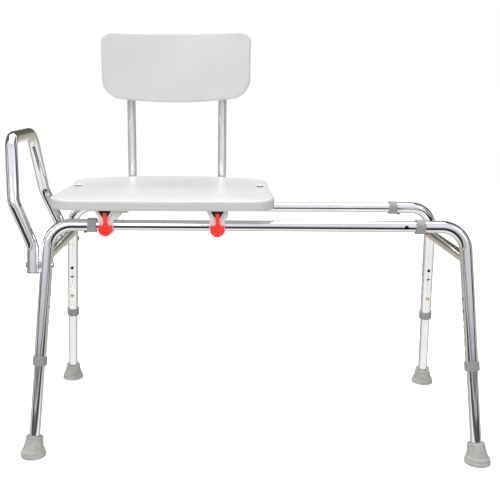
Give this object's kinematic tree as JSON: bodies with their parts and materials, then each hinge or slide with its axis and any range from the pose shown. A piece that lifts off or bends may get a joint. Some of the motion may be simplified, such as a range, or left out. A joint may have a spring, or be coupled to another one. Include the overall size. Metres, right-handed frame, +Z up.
{
  "type": "sliding bath transfer bench",
  "caption": "Tubular bath transfer bench whose seat and back rest slide along twin rails, with lock levers, splayed height-adjustable legs, rubber feet and an end grab handle.",
  "frame": {"origin": "middle of the bounding box's footprint, on the floor under the feet", "axes": "+X along the rails away from the grab handle, +Y from the front to the back rest, +Z up"},
  "size_m": [1.0026, 0.503, 0.8742],
  "materials": {
    "bright_tube": "bright anodised",
    "seat_white": "satin moulded",
    "back_grey": "satin moulded",
    "block_white": "satin moulded",
    "collar_grey": "matte moulded",
    "foot_rubber": "matte moulded",
    "lever_red": "satin moulded",
    "housing_black": "matte moulded",
    "button_brass": "polished",
    "fixing_steel": "zinc plated",
    "spring_steel": "bright rolled",
    "insert_brass": "turned"
  },
  "bodies": {
    "frame": {"front_rail": "bright_tube", "rear_rail": "bright_tube", "rail_collars": "collar_grey", "leg_collars": "collar_grey", "rail_springs": "spring_steel", "lock_bushes": "insert_brass", "cross_tube_left": "bright_tube", "cross_tube_right": "bright_tube", "grab_handle": "bright_tube", "handle_plugs": "collar_grey", "handle_bolts": "fixing_steel", "handle_nuts": "fixing_steel", "handle_saddles": "collar_grey", "leg_tube_front_left": "bright_tube", "leg_tube_front_right": "bright_tube", "leg_tube_rear_left": "bright_tube", "leg_tube_rear_right": "bright_tube"},
    "seat_carriage": {"seat": "seat_white", "seat_screws": "fixing_steel", "lock_housing_left": "housing_black", "lock_housing_right": "housing_black", "lock_pins": "fixing_steel", "back_post_left": "bright_tube", "back_post_right": "bright_tube", "post_caps": "collar_grey", "back_plate": "back_grey", "back_inserts": "insert_brass", "back_bolts": "fixing_steel", "slide_block_front_left": "block_white", "slide_block_front_right": "block_white", "slide_block_rear_left": "block_white", "slide_block_rear_right": "block_white"},
    "lock_lever_left": {"lock_lever_left": "lever_red"},
    "lock_lever_right": {"lock_lever_right": "lever_red"},
    "leg_front_left": {"leg_extension_front_left": "bright_tube", "foot_front_left": "foot_rubber", "foot_washer_front_left": "fixing_steel", "leg_spring_front_left": "spring_steel"},
    "leg_button_front_left": {"leg_button_front_left": "button_brass"},
    "rail_button_front_left": {"rail_button_front_left": "button_brass"},
    "leg_front_right": {"leg_extension_front_right": "bright_tube", "foot_front_right": "foot_rubber", "foot_washer_front_right": "fixing_steel", "leg_spring_front_right": "spring_steel"},
    "leg_button_front_right": {"leg_button_front_right": "button_brass"},
    "rail_button_front_right": {"rail_button_front_right": "button_brass"},
    "leg_rear_left": {"leg_extension_rear_left": "bright_tube", "foot_rear_left": "foot_rubber", "foot_washer_rear_left": "fixing_steel", "leg_spring_rear_left": "spring_steel"},
    "leg_button_rear_left": {"leg_button_rear_left": "button_brass"},
    "rail_button_rear_left": {"rail_button_rear_left": "button_brass"},
    "leg_rear_right": {"leg_extension_rear_right": "bright_tube", "foot_rear_right": "foot_rubber", "foot_washer_rear_right": "fixing_steel", "leg_spring_rear_right": "spring_steel"},
    "leg_button_rear_right": {"leg_button_rear_right": "button_brass"},
    "rail_button_rear_right": {"rail_button_rear_right": "button_brass"}
  },
  "joints": [
    {"name": "seat_slide", "type": "slide", "parent": "frame", "child": "seat_carriage", "axis": [1, 0, 0], "range_m": [0, 0.3825]},
    {"name": "lock_lever_left_hinge", "type": "hinge", "parent": "seat_carriage", "child": "lock_lever_left", "pos_m": [-0.28767, -0.153, 0.497], "axis": [-1, 0, 0], "range_deg": [-6.5, 25]},
    {"name": "lock_lever_right_hinge", "type": "hinge", "parent": "seat_carriage", "child": "lock_lever_right", "pos_m": [-0.05967, -0.153, 0.497], "axis": [-1, 0, 0], "range_deg": [-6.5, 25]},
    {"name": "leg_front_left_height", "type": "slide", "parent": "frame", "child": "leg_front_left", "axis": [-0.0675, -0.1938, -0.9787], "range_m": [-0.0762, 0.0254], "deforming": ["leg_button_front_left", "leg_spring_front_left"]},
    {"name": "leg_button_front_left_press", "type": "slide", "parent": "leg_front_left", "child": "leg_button_front_left", "axis": [0.0133, -0.981, 0.1933], "range_m": [0, 0.0056], "stiffness_N_per_m": 800, "deforming": ["leg_spring_front_left"]},
    {"name": "rail_button_front_left_press", "type": "slide", "parent": "frame", "child": "rail_button_front_left", "axis": [0, 0, 1], "range_m": [0, 0.0056], "stiffness_N_per_m": 800, "deforming": ["rail_springs"]},
    {"name": "leg_front_right_height", "type": "slide", "parent": "frame", "child": "leg_front_right", "axis": [0.0675, -0.1938, -0.9787], "range_m": [-0.0762, 0.0254], "deforming": ["leg_button_front_right", "leg_spring_front_right"]},
    {"name": "leg_button_front_right_press", "type": "slide", "parent": "leg_front_right", "child": "leg_button_front_right", "axis": [-0.0133, -0.981, 0.1933], "range_m": [0, 0.0056], "stiffness_N_per_m": 800, "deforming": ["leg_spring_front_right"]},
    {"name": "rail_button_front_right_press", "type": "slide", "parent": "frame", "child": "rail_button_front_right", "axis": [0, 0, 1], "range_m": [0, 0.0056], "stiffness_N_per_m": 800, "deforming": ["rail_springs"]},
    {"name": "leg_rear_left_height", "type": "slide", "parent": "frame", "child": "leg_rear_left", "axis": [-0.0675, 0.1938, -0.9787], "range_m": [-0.0762, 0.0254], "deforming": ["leg_button_rear_left", "leg_spring_rear_left"]},
    {"name": "leg_button_rear_left_press", "type": "slide", "parent": "leg_rear_left", "child": "leg_button_rear_left", "axis": [0.0133, 0.981, 0.1933], "range_m": [0, 0.0056], "stiffness_N_per_m": 800, "deforming": ["leg_spring_rear_left"]},
    {"name": "rail_button_rear_left_press", "type": "slide", "parent": "frame", "child": "rail_button_rear_left", "axis": [0, 0, 1], "range_m": [0, 0.0056], "stiffness_N_per_m": 800, "deforming": ["rail_springs"]},
    {"name": "leg_rear_right_height", "type": "slide", "parent": "frame", "child": "leg_rear_right", "axis": [0.0675, 0.1938, -0.9787], "range_m": [-0.0762, 0.0254], "deforming": ["leg_button_rear_right", "leg_spring_rear_right"]},
    {"name": "leg_button_rear_right_press", "type": "slide", "parent": "leg_rear_right", "child": "leg_button_rear_right", "axis": [-0.0133, 0.981, 0.1933], "range_m": [0, 0.0056], "stiffness_N_per_m": 800, "deforming": ["leg_spring_rear_right"]},
    {"name": "rail_button_rear_right_press", "type": "slide", "parent": "frame", "child": "rail_button_rear_right", "axis": [0, 0, 1], "range_m": [0, 0.0056], "stiffness_N_per_m": 800, "deforming": ["rail_springs"]}
  ]
}
